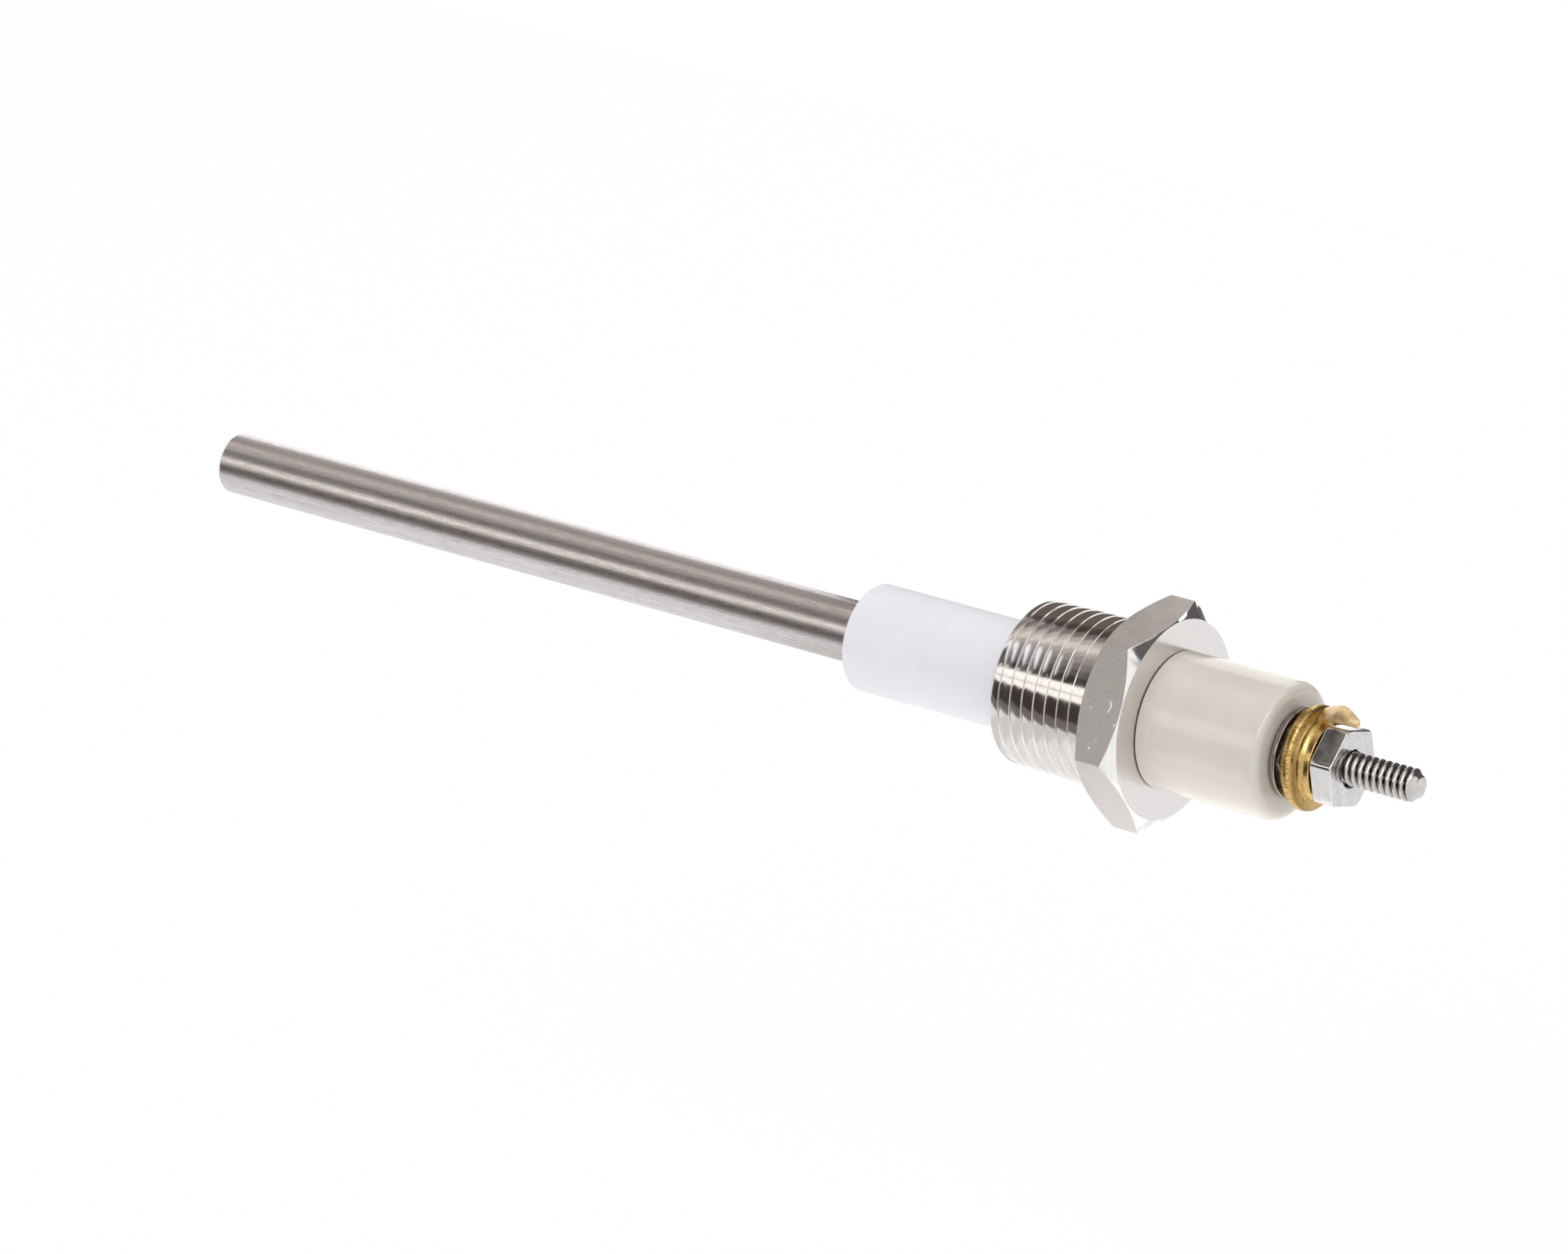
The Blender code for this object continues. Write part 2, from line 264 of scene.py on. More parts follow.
def blendColour(mat, fac, first, second, mode="MIX"):
    node = addNode(mat, "ShaderNodeMix", data_type="RGBA", blend_type=mode)
    for value, socket in ((fac, node.inputs[0]), (first, node.inputs[6]), (second, node.inputs[7])):
        if isinstance(value, (float, int)):
            socket.default_value = value
        elif isinstance(value, tuple):
            socket.default_value = (*value, 1.0)
        else:
            wire(mat, value, socket)
    return node.outputs[2]


def addUp(mat, first, second, operation="ADD"):
    node = addNode(mat, "ShaderNodeMath", operation=operation)
    for value, socket in ((first, node.inputs[0]), (second, node.inputs[1])):
        if isinstance(value, (float, int)):
            socket.default_value = value
        else:
            wire(mat, value, socket)
    return node.outputs["Value"]


def mixOf(mat, first, second, share=0.5):
    return addUp(mat, addUp(mat, first, share, "MULTIPLY"), addUp(mat, second, 1 - share, "MULTIPLY"))


def relief(mat, height, depthMm):
    node = addNode(mat, "ShaderNodeBump", Strength=1.0, Distance=depthMm * mm)
    wire(mat, height, node.inputs["Height"])
    wire(mat, node.outputs["Normal"], shaderOf(mat).inputs["Normal"])


def colourBy(mat, colour):
    wire(mat, colour, shaderOf(mat).inputs["Base Color"])


def roughBy(mat, value):
    wire(mat, value, shaderOf(mat).inputs["Roughness"])


# one pattern drives the colour, the roughness and the relief
def finishBy(mat, pattern, look, low=0.35, high=0.65):
    colourBy(mat, tint(mat, pattern, ((low, look["dark"]), (high, look["light"]))))
    roughBy(mat, spread(mat, pattern, 0.3, 0.7, *look["rough"]))
    relief(mat, pattern, look["depth"])
    return mat


# finishes

def drawnSteel(look):
    mat = startFinish("drawnSteel", 1.0)
    lines = grain(mat, look["linesPerMm"], 4.0, 0.6)
    specks = grain(mat, look["specksPerMm"], 3.0, 0.7, seed=3.0)
    stains = grain(mat, look["stainsPerMm"], 3.0, 0.55, seed=9.0)
    mixed = mixOf(mat, lines, specks)
    colour = tint(mat, mixed, ((0.36, look["dark"]), (0.64, look["light"])))
    colour = blendColour(mat, spread(mat, stains, 0.62, 0.8, 0.0, 0.3), colour, look["stain"])
    colourBy(mat, colour)
    roughBy(mat, spread(mat, specks, 0.36, 0.62, *look["rough"]))
    relief(mat, mixed, look["depth"])
    return mat


def turnedSteel(name, look):
    mat = startFinish(name, 1.0)
    rings = grain(mat, look["ringsPerMm"], 3.0, 0.6)
    smears = grain(mat, look["smearsPerMm"], 3.0, 0.55, seed=5.0)
    nicks = grain(mat, look["nicksPerMm"], kind="ShaderNodeTexVoronoi", seed=2.0)
    colourBy(mat, tint(mat, mixOf(mat, rings, smears), ((0.35, look["dark"]), (0.65, look["light"]))))
    pits = spread(mat, nicks, 0.0, look["nickSize"], 1.0, 0.0)
    dulled = addUp(mat, pits, 0.3, "MULTIPLY")
    roughBy(mat, addUp(mat, spread(mat, smears, 0.3, 0.7, *look["rough"]), dulled))
    sunk = addUp(mat, pits, look["nickDepth"], "MULTIPLY")
    relief(mat, addUp(mat, rings, sunk, "SUBTRACT"), look["depth"])
    return mat


# darker near the axis, at the bottom of the small thread's grooves, but not on the end face: painted shade in
# the thread grooves
def paintRootShade(mat, look):
    spot = spotOn(mat)
    colour = shaderOf(mat).inputs["Base Color"].links[0].from_socket
    split = addNode(mat, "ShaderNodeSeparateXYZ")
    wire(mat, spot, split.inputs["Vector"])
    low, high = (r * mm for r in look["rootsBetween"])
    start, end = (x * mm for x in look["rootsFade"])
    inward = spread(mat, axisDistance(mat, spot), low, high, look["rootsShare"], 0.0)
    fade = addUp(mat, inward, spread(mat, split.outputs["X"], start, end, 1.0, 0.0), "MULTIPLY")
    colourBy(mat, blendColour(mat, fade, colour, look["rootShade"]))
    return mat


def milledSteel(look):
    mat = startFinish("milledSteel", 1.0, **look["sockets"])
    around = addNode(mat, "ShaderNodeTangent", direction_type="RADIAL", axis="X")
    wire(mat, around.outputs["Tangent"], shaderOf(mat).inputs["Tangent"])
    fine = grain(mat, look["grainPerMm"], 4.0, 0.7)
    cloud = grain(mat, look["cloudPerMm"], 3.0, 0.55, seed=4.0)
    nicks = grain(mat, look["nicksPerMm"], kind="ShaderNodeTexVoronoi", seed=8.0)
    mixed = mixOf(mat, fine, cloud, 0.65)
    bright = spread(mat, nicks, 0.0, look["nickSize"], 1.0, 0.0)
    spot = spotOn(mat)
    for mark in look["scratches"]:
        bright = addUp(mat, bright, scratch(mat, spot, *mark), "MAXIMUM")
    colour = tint(mat, mixed, ((0.34, look["dark"]), (0.66, look["light"])))
    colourBy(mat, blendColour(mat, bright, colour, look["nick"]))
    roughBy(mat, spread(mat, mixed, 0.3, 0.7, *look["rough"]))
    sunk = addUp(mat, bright, look["nickDepth"], "MULTIPLY")
    relief(mat, addUp(mat, mixed, sunk, "SUBTRACT"), look["depth"])
    return mat


# a scratch is a short piece of a circle: centre, radius, width, its middle and its reach
def scratch(mat, spot, centre, radius, width, middle, reach):
    gaps = []
    for place in (centre, middle):
        off = addNode(mat, "ShaderNodeVectorMath", operation="DISTANCE")
        off.inputs[1].default_value = [c * mm for c in place]
        wire(mat, spot, off.inputs[0])
        gaps.append(off.outputs["Value"])
    line = addUp(mat, addUp(mat, gaps[0], radius * mm, "SUBTRACT"), 0.0, "ABSOLUTE")
    line = spread(mat, line, 0.4 * width * mm, width * mm, 1.0, 0.0)
    return addUp(mat, line, spread(mat, gaps[1], 0.8 * reach * mm, reach * mm, 1.0, 0.0), "MULTIPLY")


def facedSteel(look):
    mat = startFinish("facedSteel", 1.0)
    rings = facingGrain(mat, look["ringsPerMm"])
    fine = grain(mat, look["grainPerMm"], 3.0, 0.7)
    return finishBy(mat, mixOf(mat, rings, fine, 0.6), look)


def sleevePlastic(look):
    mat = startFinish("sleevePlastic", 0.0, **look["sockets"])
    cloud = grain(mat, look["cloudPerMm"], 4.0, 0.6)
    lines = grain(mat, look["linesPerMm"], 3.0, 0.6, seed=6.0)
    return finishBy(mat, mixOf(mat, cloud, lines, 0.7), look)


def creamGlaze(look):
    mat = startFinish("creamGlaze", 0.0, **look["sockets"])
    cloud = grain(mat, look["cloudPerMm"], 4.0, 0.55)
    speck = grain(mat, look["specksPerMm"], kind="ShaderNodeTexVoronoi", seed=4.0)
    colour = tint(mat, cloud, ((0.35, look["dark"]), (0.65, look["light"])))
    dots = spread(mat, speck, 0.0, look["speckSize"], 0.5, 0.0)
    colourBy(mat, blendColour(mat, dots, colour, look["speck"]))
    roughBy(mat, spread(mat, cloud, 0.3, 0.7, *look["rough"]))
    relief(mat, cloud, look["depth"])
    return mat


def spunBrass(name, look):
    mat = startFinish(name, 1.0)
    lines = grain(mat, look["linesPerMm"], 4.0, 0.65)
    patches = grain(mat, look["tarnishPerMm"], 4.0, 0.6, seed=7.0)
    split = addNode(mat, "ShaderNodeSeparateXYZ")
    wire(mat, spotOn(mat), split.inputs["Vector"])
    x, y, z = (split.outputs[axis] for axis in "XYZ")
    # darkening at the fold is painted shade; the noise patches are tarnish
    offFold = addUp(mat, addUp(mat, x, look["foldX"] * mm, "SUBTRACT"), 0.0, "ABSOLUTE")
    fold = spread(mat, offFold, 0.0, look["foldWide"] * mm, 0.75, 0.0)
    tarnishAndShadeMask = addUp(mat, fold, spread(mat, patches, 0.42, 0.75, 0.0, 0.6), "MAXIMUM")
    # creases run along the axis on the rim, from noise laid round it; the dark colour in them is painted shade
    spot = addNode(mat, "ShaderNodeCombineXYZ")
    around = addUp(mat, addUp(mat, y, z, "ARCTAN2"), look["shadedCreases"], "MULTIPLY")
    wire(mat, around, spot.inputs["X"])
    wire(mat, addUp(mat, x, look["creaseLong"] / mm, "MULTIPLY"), spot.inputs["Y"])
    crease = addNode(mat, "ShaderNodeTexNoise", noise_dimensions="2D", Scale=1.0, Detail=2.0)
    wire(mat, spot.outputs["Vector"], crease.inputs["Vector"])
    rim = spread(mat, x, look["creaseX"] * mm, (look["creaseX"] + look["creaseFade"]) * mm, 1.0, 0.0)
    shadedCreases = addUp(mat, spread(mat, crease.outputs["Fac"], 0.36, 0.5, 1.0, 0.0), rim, "MULTIPLY")
    tarnishAndShadeMask = addUp(mat, tarnishAndShadeMask, addUp(mat, shadedCreases, 0.7, "MULTIPLY"), "MAXIMUM")
    colour = tint(mat, lines, ((0.3, look["dark"]), (0.7, look["light"])))
    # the tarnish colour goes on the tarnish patches and, as painted shade, on the fold and in the creases
    colourBy(mat, blendColour(mat, tarnishAndShadeMask, colour, look["tarnishAndShadeColour"]))
    dulled = addUp(mat, tarnishAndShadeMask, 0.16, "MULTIPLY")
    roughBy(mat, addUp(mat, spread(mat, lines, 0.3, 0.7, *look["rough"]), dulled))
    sunk = addUp(mat, shadedCreases, 1.2, "MULTIPLY")
    relief(mat, addUp(mat, lines, sunk, "SUBTRACT"), look["depth"])
    return mat


def softPacking(name, look):
    mat = startFinish(name, 0.0)
    return finishBy(mat, grain(mat, look["perMm"], 5.0, 0.7), look, 0.3, 0.7)


# rod

rodLook = {
    "radius": 3.175, "tipX": -115.0, "topX": -9.2, "edge": 0.32, "topEdge": 0.3,
    "tapRadius": 1.98, "tapX": -18.2, "core": 0.4,
    "linesPerMm": (0.05, 5.0, 5.0), "specksPerMm": (0.7, 7.0, 7.0), "stainsPerMm": (0.12, 0.5, 0.5),
    "dark": (0.55, 0.513, 0.512), "light": (0.76, 0.72, 0.724), "stain": (0.43, 0.393, 0.385),
    "rough": (0.365, 0.265), "depth": 0.0014,
}


def makeRod(look):
    r, core, tip, top = look["radius"], look["core"], look["tipX"], look["topX"]
    tap, tapX = look["tapRadius"], look["tapX"]
    outline = [(tip, core, 0.0), (tip, r, look["edge"]), (top, r, look["topEdge"])]
    outline += [(top, tap, 0.0), (tapX, tap, 0.0), (tapX, core, 0.0)]
    shape = ringStack(softProfile(outline, 5, closed=False), evenClock(96), closed=False)
    return weighNormals(makePiece("probeRod", shape, [drawnSteel(look)], "probe", ["probe_rod"]))


makeRod(rodLook)
print("rod done")


# sleeve

sleeveLook = {
    "radius": 5.57, "tipX": -32.9, "topX": -4.7, "bore": 3.42, "stepX": -8.0, "neck": 2.1,
    "edge": 0.6, "boreEdge": 0.2, "topEdge": 0.15,
    "cloudPerMm": (0.15, 0.25, 0.25), "linesPerMm": (4.0, 0.3, 0.3),
    "dark": (0.795, 0.79, 0.835), "light": (0.835, 0.83, 0.875),
    "rough": (0.4, 0.5), "depth": 0.004,
    "sockets": {"IOR": 1.4},
}


def makeSleeve(look):
    r, bore, neck = look["radius"], look["bore"], look["neck"]
    tip, top, step = look["tipX"], look["topX"], look["stepX"]
    outline = [(tip, bore, look["boreEdge"]), (tip, r, look["edge"]), (top, r, look["topEdge"])]
    outline += [(top, neck, 0.0), (step, neck, 0.0), (step, bore, 0.0)]
    shape = ringStack(softProfile(outline, 6), evenClock(128))
    return weighNormals(makePiece("sleeve", shape, [sleevePlastic(look)],
                                  "probe", ["insulating_sleeve"]))


makeSleeve(sleeveLook)
print("sleeve done")


# threaded body: pipe thread and hexagon head in one closed mesh

bodyLook = {
    "faceX": -13.25, "faceRadius": 7.55, "bore": 5.85, "boreEdge": 0.3,
    "webLow": -3.1, "webTop": -0.6, "webRadius": 3.15, "topBore": 5.75,
    "entry": ((0.62, -0.04), (0.7, 0.0)),  # from the face and the first crest, where the thread starts
    "threadX": -12.34, "pitch": 25.4 / 18, "turns": 7, "crest": 8.36, "taper": 1 / 32, "crestMost": 8.545,
    "depth": 0.10, "depthLast": 0.035, "grooveHalf": 0.085, "ramp": 0.08, "rampLong": 0.95,
    "neck": ((-0.16, 0.0), (-0.05, 0.015), (0.0, 0.1)),  # from the hexagon's back and the last crest
    "flats": 20.64, "backX": -0.95, "frontX": 3.76, "faceCircle": 10.25, "chamfer": 0.95, "nibDrop": 0.035,
    "edgeHold": 0.02, "backHold": 0.05, "frontHold": 0.06,
}
threadLook = {
    "ringsPerMm": (14.0, 0.25, 0.25), "smearsPerMm": (1.2, 0.35, 0.35), "nicksPerMm": (1.1, 1.1, 1.1),
    "nickSize": 0.07, "nickDepth": 3.0, "dark": (0.66, 0.63, 0.615), "light": (0.80, 0.775, 0.76),
    "rough": (0.08, 0.16), "depth": 0.0022,
}
flatLook = {
    "grainPerMm": (1.2, 9.0, 9.0), "cloudPerMm": (0.35, 0.35, 0.35), "nicksPerMm": (0.6, 0.6, 0.6),
    "dark": (0.78, 0.755, 0.74), "light": (0.99, 0.965, 0.95), "nick": (0.97, 0.96, 0.95),
    "nickSize": 0.08, "nickDepth": 16.0, "rough": (0.46, 0.64), "depth": 0.006,
    "sockets": {"Anisotropic": 0.9},
    # centre, radius, width, middle, reach
    "scratches": (
        ((1.85, -8.95, 5.2), 0.78, 0.16, (2.6, -8.85, 5.3), 0.95),
        ((1.33, -11.16, 1.31), 0.0, 0.2, (1.33, -11.16, 1.31), 0.4),
        ((3.5, -9.75, 3.75), 0.0, 0.17, (3.5, -9.75, 3.75), 0.4),
        ((0.35, -9.2, 4.7), 0.0, 0.13, (0.35, -9.2, 4.7), 0.4),
    ),
}
# the front chamfer's steel is made lighter than the rest of the hexagon: painted light
chamferLook = {
    "ringsPerMm": (9.0, 0.3, 0.3), "smearsPerMm": (0.8, 0.6, 0.6), "nicksPerMm": (0.9, 0.9, 0.9),
    "nickSize": 0.05, "nickDepth": 2.0, "dark": (0.82, 0.81, 0.80), "light": (0.92, 0.915, 0.91),
    "rough": (0.06, 0.12), "depth": 0.0015,
}
# the back chamfer is a darker copy of the same steel: painted shade
backChamferShadeLook = {
    **chamferLook, "dark": (0.52, 0.51, 0.50), "light": (0.62, 0.61, 0.60), "rough": (0.2, 0.3),
}
faceLook = {
    "ringsPerMm": 7.0, "grainPerMm": (3.0, 3.0, 3.0),
    "dark": (0.735, 0.71, 0.70), "light": (0.80, 0.775, 0.765), "rough": (0.15, 0.22), "depth": 0.0006,
}


def makeBody(look):
    clocks = hexClock(-90.0)
    slope = look["taper"]

    def crestAt(x):
        return min(look["crest"] + (x - look["faceX"]) * slope, look["crestMost"])

    # a narrow round-bottomed groove, then a land that climbs to its full height; it runs in and out
    def cut(turn):
        left = max(0.0, 1 - turn / look["turns"])
        fade = left ** 0.8 * min(1.0, 0.1 + 2.2 * turn)
        depth = look["depthLast"] + (look["depth"] - look["depthLast"]) * fade
        half, pitch, ramp = look["grooveHalf"], look["pitch"], look["ramp"] * min(1.0, 0.25 + fade)
        x = look["threadX"] + pitch * turn
        outer = (1.0, 0.9, 0.8, 0.65, 0.5, 0.35, 0.2, 0.1)
        steps = [-u for u in outer] + [0.0] + list(reversed(outer))
        rows = [(u * half, depth * (0.5 + 0.5 * cos(pi * u)) + ramp * (0.5 + 0.5 * u)) for u in steps]
        rows += [(half + look["rampLong"] * t, ramp * (1 - t) ** 2) for t in (0.12, 0.3, 0.5, 0.75, 1.0)]
        rows.append((pitch - half - 0.06, 0.0))
        return [(dx, crestAt(x + dx) - drop) for dx, drop in rows]

    def hexAt(c):
        return hexRadius(c, look["flats"], -90.0, look["nibDrop"])

    reach = look["flats"] / sqrt(3) - look["faceCircle"]

    # share 0 lies on the flats, 1 on the face
    def chamferRow(faceX, rise, share):
        rows = []
        for c in clocks:
            r = hexAt(c)
            drop = max(0.0, r - look["faceCircle"])
            edgeX = faceX + rise * drop / reach
            rows.append((edgeX + (faceX - edgeX) * share, r - drop * share))
        return rows

    front, back, most = look["frontX"], look["backX"], look["crestMost"]
    face, bore, edge = look["faceX"], look["bore"], look["boreEdge"]
    circle, chamfer, hold = look["faceCircle"], look["chamfer"], look["edgeHold"]
    start = [(look["webLow"], bore), (face + edge, bore), (face, bore + edge), (face, look["faceRadius"])]
    start += [(face + dx, look["crest"] + dr) for dx, dr in look["entry"]]
    finish = [(back + dx, most + dr) for dx, dr in look["neck"]]
    finish += [(back, circle - look["backHold"]), (back, circle)]
    finish += [chamferRow(back, chamfer, 0.1), chamferRow(back + hold, chamfer, 0.0)]
    finish += [[(0.5 * (front + back), hexAt(c)) for c in clocks]]
    finish += [chamferRow(front - hold, -chamfer, 0.0), chamferRow(front, -chamfer, 0.08)]
    finish += [(front, circle), (front, circle - look["frontHold"]), (front, look["topBore"])]
    finish += [(look["webTop"], look["topBore"]), (look["webTop"], look["webRadius"])]
    finish += [(look["webLow"], look["webRadius"])]
    shape = helixStack(start, finish, clocks, look["threadX"], look["pitch"], look["turns"], cut, closed=True)
    finishes = [turnedSteel("turnedThread", threadLook), milledSteel(flatLook),
                turnedSteel("frontChamferPaintedLight", chamferLook), facedSteel(faceLook),
                turnedSteel("backChamferPaintedShade", backChamferShadeLook)]
    # rings after the thread: shoulder, back chamfer, flats, front chamfer, face; the rest is turned
    regions = {2: 3, 3: 4, 4: 4, 5: 4, 6: 1, 7: 1, 8: 2, 9: 2, 10: 3, 11: 3, 12: 3}
    return weighNormals(makePiece("threadedBody", shape, finishes, "probe", ["threaded_body"],
                                  pick=lambda mark: regions.get(mark - len(start), 0), sharp=24.0))


makeBody(bodyLook)
print("threaded body done")


# insulator

insulatorLook = {
    "radius": 7.1, "baseX": 3.86, "endX": 17.85, "edge": 1.35, "baseEdge": 0.1,
    "spigot": 5.45, "spigotX": 0.6, "nose": 2.8, "noseX": -2.8, "spigotEdge": 0.2,
    "bore": 2.0, "boreEdge": 0.15, "wave": 0.022, "waveFrom": (3.1, 0.7, 5.2), "waveRings": 12,
    "cloudPerMm": (0.12, 0.16, 0.16), "specksPerMm": (0.5, 0.5, 0.5), "speckSize": 0.07,
    "dark": (0.675, 0.628, 0.563), "light": (0.72, 0.672, 0.605), "speck": (0.45, 0.4, 0.33),
    "rough": (0.13, 0.2), "depth": 0.008,
    "sockets": {"IOR": 1.6},
}


def makeInsulator(look):
    r, bore, soft = look["radius"], look["bore"], look["spigotEdge"]
    base, end, nose, spigotX = look["baseX"], look["endX"], look["noseX"], look["spigotX"]
    outline = [(nose, bore, 0.0), (nose, look["nose"], soft), (spigotX, look["nose"], 0.0)]
    outline += [(spigotX, look["spigot"], soft), (base, look["spigot"], 0.0), (base, r, look["baseEdge"])]
    outline += [(end, r, look["edge"]), (end, bore, look["boreEdge"])]
    loop = softProfile(outline, 10)
    at = max(n for n, (x, q) in enumerate(loop) if q > r - 0.01 and x < base + 1.0)
    count = look["waveRings"]
    # more rings along the side, for the uneven glaze
    loop[at + 1:at + 1] = [(base + (end - base) * n / count, r) for n in range(1, count - 1)]
    clocks = evenClock(160)
    rings = []
    for x, q in loop:
        row = []
        for c in clocks:
            lift = 0.0
            if q > r - 0.9 and x > base + 0.3:
                place = Vector(clockPoint(x * 0.16, q * 0.22, c))
                lift = look["wave"] * noise.noise(place + Vector(look["waveFrom"]))
            row.append((x, q + lift))
        rings.append(row)
    return weighNormals(makePiece("insulator", ringStack(rings, clocks), [creamGlaze(look)],
                                  "probe", ["porcelain_insulator"]))


makeInsulator(insulatorLook)
print("insulator done")


# terminal: washer, clamp nut, stud, brass cup with its ear, nut

smallSteel = {
    "ringsPerMm": (6.0, 1.0, 1.0), "smearsPerMm": (1.0, 1.0, 1.0), "nicksPerMm": (1.4, 1.4, 1.4),
    "nickSize": 0.08, "nickDepth": 2.0, "dark": (0.60, 0.59, 0.585), "light": (0.72, 0.71, 0.705),
    "rough": (0.1, 0.2), "depth": 0.0025,
}
# the washer's steel is darkened: painted shade for its face in the shadow of the cup
washerSteelPaintedShade = {
    **smallSteel, "rough": (0.14, 0.26), "dark": (0.30, 0.27, 0.25), "light": (0.46, 0.42, 0.39),
}
clampSteel = {**smallSteel, "rough": (0.2, 0.3)}
washerLook = {"low": 18.02, "high": 18.6, "bore": 2.0, "radius": 4.65, "edge": 0.16, "boreEdge": 0.06}
clampLook = {"low": 18.75, "high": 21.2, "flats": 6.15, "face": 2.92, "clock": 20.0}
nutLook = {"low": 22.32, "high": 24.82, "flats": 7.7, "face": 4.16, "clock": 5.8}
nutShape = {"bore": 1.85, "sink": 0.17, "slope": 0.5, "nibDrop": 0.08, "soft": 0.17}
studLook = {
    "lowX": -17.2, "shank": 1.62, "lowEdge": 0.3, "threadX": 20.72, "pitch": 25.4 / 32, "turns": 14,
    "crest": 1.72, "root": 1.27, "crestRound": 1.8,
    "endX": 32.7, "endRadius": 1.06, "endSlope": 0.95, "endHold": (0.08, 0.2), "clock": 150.0,
}
studSteel = {
    **smallSteel, "dark": (0.55, 0.53, 0.52), "light": (0.69, 0.67, 0.655), "rough": (0.1, 0.18),
    # the near-black colour for the bottom of the thread grooves is painted shade
    "rootShade": (0.10, 0.085, 0.075), "rootsBetween": (1.32, 1.7), "rootsShare": 0.92, "rootsFade": (31.9, 32.3),
}


def makeWasher(look, finish):
    low, high, edge, boreEdge = look["low"], look["high"], look["edge"], look["boreEdge"]
    outline = [(low, look["bore"], boreEdge), (low, look["radius"], edge)]
    outline += [(high, look["radius"], edge), (high, look["bore"], boreEdge)]
    shape = ringStack(softProfile(outline, 4), evenClock(128))
    return weighNormals(makePiece("flatWasher", shape, [finish], "probe", ["flat_washer"]))


def makeNut(name, look, finish, body, node):
    clocks = hexClock(look["clock"], 16, 2.8)
    low, high = look["low"], look["high"]
    bore, sink, soft = (nutShape[key] for key in ("bore", "sink", "soft"))

    # share 0 lies on the face, 1 on the flats, with the corners turned off and a soft edge between
    def edgeRow(faceX, into, share):
        rows = []
        for c in clocks:
            r = hexRadius(c, look["flats"], look["clock"], nutShape["nibDrop"])
            inner = min(r, look["face"])
            edgeX = into * nutShape["slope"] * (r - inner)
            dx = share * share * (edgeX + into * soft)
            rows.append((faceX + dx, inner - soft + (r - inner + soft) * (1 - (1 - share) ** 2)))
        return rows

    shares = (0.0, 0.3, 0.5, 0.7, 1.0)
    rings = [(low + sink, bore), (low, bore + sink)] + [edgeRow(low, 1, share) for share in shares]
    rings += [edgeRow(high, -1, share) for share in reversed(shares)]
    rings += [(high, bore + sink), (high - sink, bore)]
    return weighNormals(makePiece(name, ringStack(rings, clocks), [finish], body, [node], sharp=40.0))


def makeStud(look, finish):
    pitch, threadX, endX = look["pitch"], look["threadX"], look["endX"]
    depth = look["crest"] - look["root"]
    nose = threadX + pitch * (look["turns"] + 1) + 0.02

    # the end's cone cuts the thread
    def coneAt(x):
        return look["endRadius"] + look["endSlope"] * (endX - x)

    def cut(turn):
        steps = (0.0, 0.06, 0.14, 0.22, 0.3, 0.38, 0.44, 0.5, 0.56, 0.62, 0.7, 0.78, 0.86, 0.94)
        out = []
        for u in steps:
            r = look["crest"] - depth * abs(2 * u - 1) ** look["crestRound"]
            out.append((pitch * u, min(r, coneAt(threadX + pitch * turn + pitch * u))))
        return out

    low, edge, shank = look["lowX"], look["lowEdge"], look["shank"]
    before = [(low, shank - edge), (low + edge, shank), (threadX - 0.45, shank), (threadX - 0.05, look["root"])]
    after = [(nose, coneAt(nose))] + [(endX, look["endRadius"] - hold) for hold in look["endHold"]]
    clocks = evenClock(64, look["clock"])
    shape = helixStack(before, after, clocks, threadX, pitch, look["turns"], cut, closed=False)
    return makePiece("terminalStud", shape, [finish], "probe", ["terminal_stud"], sharp=40.0)


brassLook = {
    "rimX": 20.2, "rimRadius": 4.73, "rimThick": 0.6, "topX": 22.15, "underX": 21.4, "bore": 2.0,
    # rows of x and radius, x from the underside, the rim or the top
    "underRows": ((0.0, 3.45), (-0.06, 3.53), (-0.45, 3.76)), "innerRows": ((0.1, 3.86), (-0.3, 4.15)),
    "foldRows": ((0.66, 4.55), (0.73, 4.37), (0.80, 4.29), (0.87, 4.30), (0.94, 4.37), (1.02, 4.42),
                 (1.11, 4.41), (1.20, 4.33), (1.28, 4.20), (1.36, 4.11), (1.5, 4.05), (1.7, 4.0)),
    "topRows": ((-0.1, 3.97), (-0.02, 3.92), (0.0, 3.8)),
    "wrinkles": 150, "wrinkleDeep": 0.006, "dents": 0.03,
    "tilt": 3.4, "tiltClock": 10.0, "tiltFrom": 3.9, "tiltOver": 0.7,
    "linesPerMm": (3.0, 2.2, 2.2), "tarnishPerMm": (0.9, 0.45, 0.45), "foldX": 20.85, "foldWide": 0.3,
    "shadedCreases": 26.0, "creaseLong": 1.1, "creaseX": 20.4, "creaseFade": 0.35,
    # the tarnish colour also serves as painted shade at the fold and in the creases
    "dark": (0.52, 0.325, 0.10), "light": (0.83, 0.60, 0.25), "tarnishAndShadeColour": (0.2, 0.11, 0.03),
    "rough": (0.16, 0.28), "depth": 0.006,
}
earLook = {
    "clock": 5.0, "spread": 29.0, "rootX": 22.3, "reach": 3.5, "thick": 0.45,
    "nearX": 20.9, "nearRadius": 4.2, "nearRise": 1.12, "nearLong": 2.2,
    "farX": 20.4, "farRadius": 5.1, "farRise": 0.7, "farLong": 4.6,
    "across": 28, "along": 24, "softEdge": 0.09,
}
# the ear gets a lighter copy of the rim's brass: painted light for its brightly lit outer face
earBrassPaintedLight = {
    **brassLook, "dark": (0.74, 0.54, 0.27), "light": (0.97, 0.77, 0.46), "tarnishAndShadeColour": (0.52, 0.35, 0.14),
    "foldX": 20.4, "rough": (0.28, 0.4), "depth": 0.004,
}


# the rim sits a little askew on the crown, and the tilt fades in between them
def rimLean(look, r, clock):
    share = min(1.0, max(0.0, (r - look["tiltFrom"]) / look["tiltOver"]))
    lean = -tan(radians(look["tilt"])) * r * cos(radians(clock - look["tiltClock"]))
    return lean * share * share * (3 - 2 * share)


